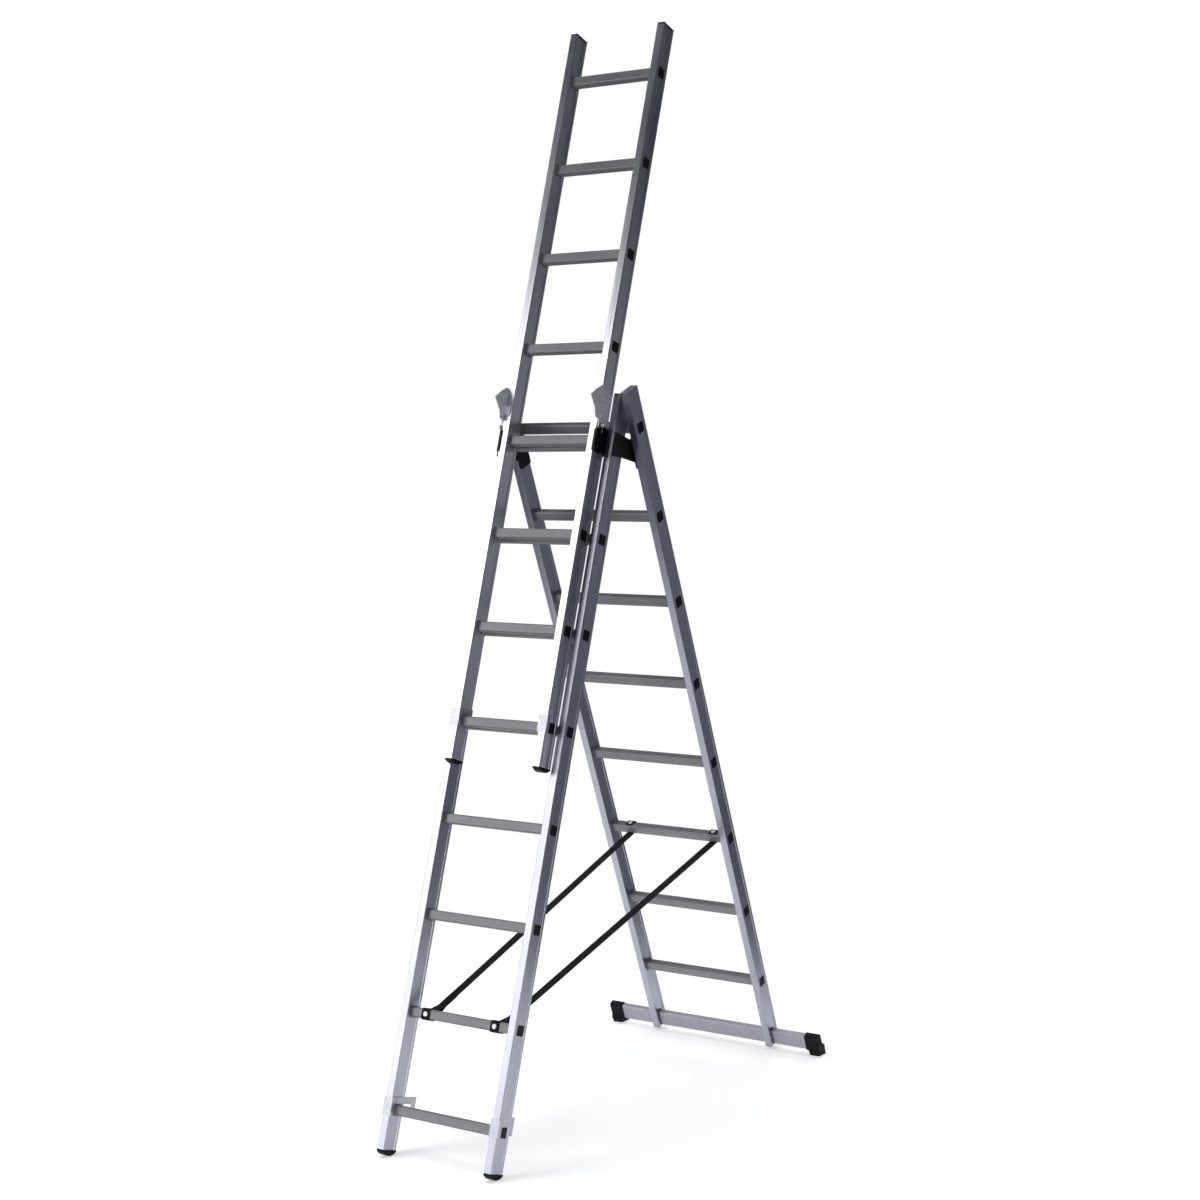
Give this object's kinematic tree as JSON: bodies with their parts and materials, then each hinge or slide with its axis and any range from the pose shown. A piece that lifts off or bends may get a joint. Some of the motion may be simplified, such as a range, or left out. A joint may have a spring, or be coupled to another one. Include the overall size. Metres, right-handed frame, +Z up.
{
  "type": "extension ladder",
  "caption": "Three-section aluminium combination ladder standing as an A-frame with its upper section run out above the hinge, on a stabiliser bar",
  "frame": {"origin": "on the ground, midway between the two stiles and between the front of the middle section's feet and the rear of the stabiliser shoes", "axes": "+X to the climber's right seen from the climbing side, +Y from the climbing side to the stabiliser bar, +Z up"},
  "size_m": [0.81, 1.625, 3.228],
  "materials": {
    "stile_aluminium": "satin extruded, drawn along its length",
    "rung_aluminium": "satin extruded, ribbed tread",
    "bar_aluminium": "satin extruded",
    "black_plastic": "moulded, fine grain",
    "cap_plastic": "moulded, grey",
    "rubber": "moulded, dull",
    "black_steel": "black coated sheet",
    "zinc_steel": "zinc plated, mottled",
    "hook_steel": "zinc plated sheet",
    "bolt_steel": "zinc plated",
    "webbing": "woven webbing"
  },
  "bodies": {
    "middle_section": {"middle_stile_left": "stile_aluminium", "middle_stile_right": "stile_aluminium", "middle_rung_1": "rung_aluminium", "middle_rung_2": "rung_aluminium", "middle_rung_3": "rung_aluminium", "middle_rung_4": "rung_aluminium", "middle_rung_5": "rung_aluminium", "middle_rung_6": "rung_aluminium", "middle_rung_7": "rung_aluminium", "middle_rung_8": "rung_aluminium", "middle_rung_plugs": "black_plastic", "middle_top_caps": "black_plastic", "middle_foot_left": "rubber", "middle_foot_right": "rubber", "middle_hinge_plate_left": "black_steel", "middle_hinge_plate_right": "black_steel", "guide_bracket_left": "black_steel", "guide_bracket_right": "black_steel", "latch_pins": "bolt_steel", "latch_springs": "bolt_steel", "middle_hooks": "hook_steel", "middle_rivets": "bolt_steel", "strap_left": "webbing", "strap_right": "webbing"},
    "rear_section": {"rear_stile_left": "stile_aluminium", "rear_stile_right": "stile_aluminium", "rear_rung_1": "rung_aluminium", "rear_rung_2": "rung_aluminium", "rear_rung_3": "rung_aluminium", "rear_rung_4": "rung_aluminium", "rear_rung_5": "rung_aluminium", "rear_rung_6": "rung_aluminium", "rear_rung_7": "rung_aluminium", "rear_rung_8": "rung_aluminium", "rear_rung_plugs": "black_plastic", "rear_end_caps": "cap_plastic", "stabiliser_bar": "bar_aluminium", "stabiliser_bushes": "black_plastic", "stabiliser_shoe_left": "rubber", "stabiliser_shoe_right": "rubber", "rear_fasteners": "zinc_steel", "rear_hinge_plate_left": "black_steel", "rear_hinge_plate_right": "black_steel", "hinge_bolts": "bolt_steel"},
    "extension_section": {"extension_stile_left": "stile_aluminium", "extension_stile_right": "stile_aluminium", "extension_rung_1": "rung_aluminium", "extension_rung_2": "rung_aluminium", "extension_rung_3": "rung_aluminium", "extension_rung_4": "rung_aluminium", "extension_rung_5": "rung_aluminium", "extension_rung_6": "rung_aluminium", "extension_rung_7": "rung_aluminium", "extension_rung_8": "rung_aluminium", "extension_rung_plugs": "black_plastic", "extension_end_caps": "black_plastic", "extension_hooks": "hook_steel", "extension_rivets": "bolt_steel"},
    "latch_left": {"latch_left": "zinc_steel"},
    "latch_right": {"latch_right": "zinc_steel"}
  },
  "joints": [
    {"name": "rear_fold", "type": "hinge", "parent": "middle_section", "child": "rear_section", "pos_m": [0, -0.07875, 2.00629], "axis": [-1, 0, 0], "range_deg": [0, 40.6], "deforming": ["strap_left", "strap_right"]},
    {"name": "extension_slide", "type": "slide", "parent": "middle_section", "child": "extension_section", "axis": [0, 0.2974, 0.9548], "range_m": [-1.12, 0.28]},
    {"name": "left_latch", "type": "hinge", "parent": "middle_section", "child": "latch_left", "pos_m": [-0.1663, -0.21284, 2.05329], "axis": [1, 0, 0], "range_deg": [0, 50], "stiffness_Nm_per_rad": 0.3, "springref_deg": -11.46},
    {"name": "right_latch", "type": "hinge", "parent": "middle_section", "child": "latch_right", "pos_m": [0.1663, -0.21284, 2.05329], "axis": [1, 0, 0], "range_deg": [0, 50], "stiffness_Nm_per_rad": 0.3, "springref_deg": -11.46}
  ]
}
